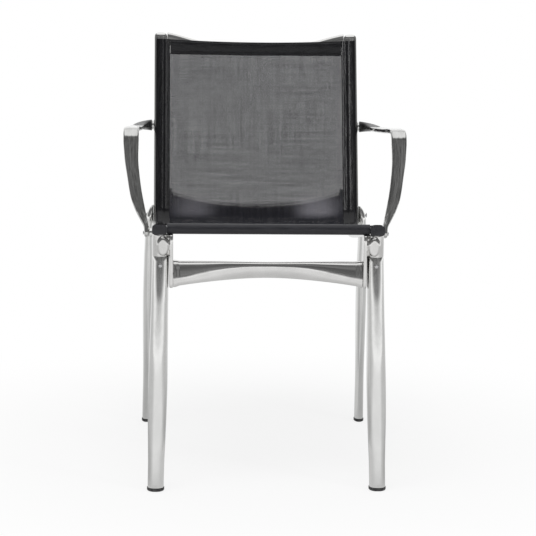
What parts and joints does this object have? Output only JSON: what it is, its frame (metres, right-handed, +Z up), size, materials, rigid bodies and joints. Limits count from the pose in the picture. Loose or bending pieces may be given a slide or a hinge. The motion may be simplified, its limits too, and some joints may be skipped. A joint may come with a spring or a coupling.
{
  "type": "sling patio armchair",
  "caption": "Stacking patio armchair with a see-through mesh sling stretched between polished rails, oval tapered legs, arched crossbars and flat bent arms.",
  "frame": {"origin": "on the floor, in the middle of the chair's overall footprint", "axes": "+Z up, +X to the right as seen from the front, the sitter looks along -Y"},
  "size_m": [0.5168, 0.6168, 0.786],
  "materials": {
    "polished_frame": "polished to a near mirror",
    "polished_casting": "polished casting, slightly softer than the tubes",
    "coated_steel": "black powder coat",
    "fastener_steel": "bright zinc",
    "black_vinyl": "smooth glossy coated cloth",
    "sling_mesh": "open basket weave of coated yarn, see-through",
    "black_plastic": "moulded, slightly glossy",
    "glide_plastic": "moulded, satin"
  },
  "bodies": {
    "root": {"left_side_rail": "polished_frame", "right_side_rail": "polished_frame", "left_edge_band": "black_vinyl", "right_edge_band": "black_vinyl", "left_edge_rod": "black_plastic", "right_edge_rod": "black_plastic", "sling_mesh": "sling_mesh", "sling_front_hem": "black_vinyl", "sling_top_hem": "black_vinyl", "front_rod": "coated_steel", "left_rail_front_cap": "black_plastic", "right_rail_front_cap": "black_plastic", "left_rail_top_cap": "polished_frame", "right_rail_top_cap": "polished_frame", "left_front_leg": "polished_frame", "right_front_leg": "polished_frame", "left_front_leg_head": "polished_casting", "right_front_leg_head": "polished_casting", "left_front_glide": "glide_plastic", "right_front_glide": "glide_plastic", "left_rear_leg": "polished_frame", "right_rear_leg": "polished_frame", "left_rear_bracket": "polished_casting", "right_rear_bracket": "polished_casting", "left_rear_glide": "glide_plastic", "right_rear_glide": "glide_plastic", "front_crossbar": "polished_casting", "rear_crossbar": "polished_casting", "top_crossbar": "polished_casting", "left_arm": "polished_frame", "right_arm": "polished_frame", "left_arm_spacer": "polished_frame", "right_arm_spacer": "polished_frame", "left_arm_boss": "polished_frame", "right_arm_boss": "polished_frame", "left_arm_sleeve": "black_plastic", "right_arm_sleeve": "black_plastic", "left_rear_leg_bolt": "fastener_steel", "right_rear_leg_bolt": "fastener_steel", "left_front_leg_screw": "fastener_steel", "right_front_leg_screw": "fastener_steel", "left_arm_pad_screw": "fastener_steel", "right_arm_pad_screw": "fastener_steel", "left_arm_root_stud": "fastener_steel", "right_arm_root_stud": "fastener_steel", "left_head_rivet": "fastener_steel", "right_head_rivet": "fastener_steel", "left_bracket_rivet": "fastener_steel", "right_bracket_rivet": "fastener_steel", "left_front_bar_dowel": "fastener_steel", "right_front_bar_dowel": "fastener_steel", "left_rear_bar_dowel": "fastener_steel", "right_rear_bar_dowel": "fastener_steel", "left_top_bar_dowel": "fastener_steel", "right_top_bar_dowel": "fastener_steel", "left_front_rod_dowel": "fastener_steel", "right_front_rod_dowel": "fastener_steel"}
  },
  "joints": []
}
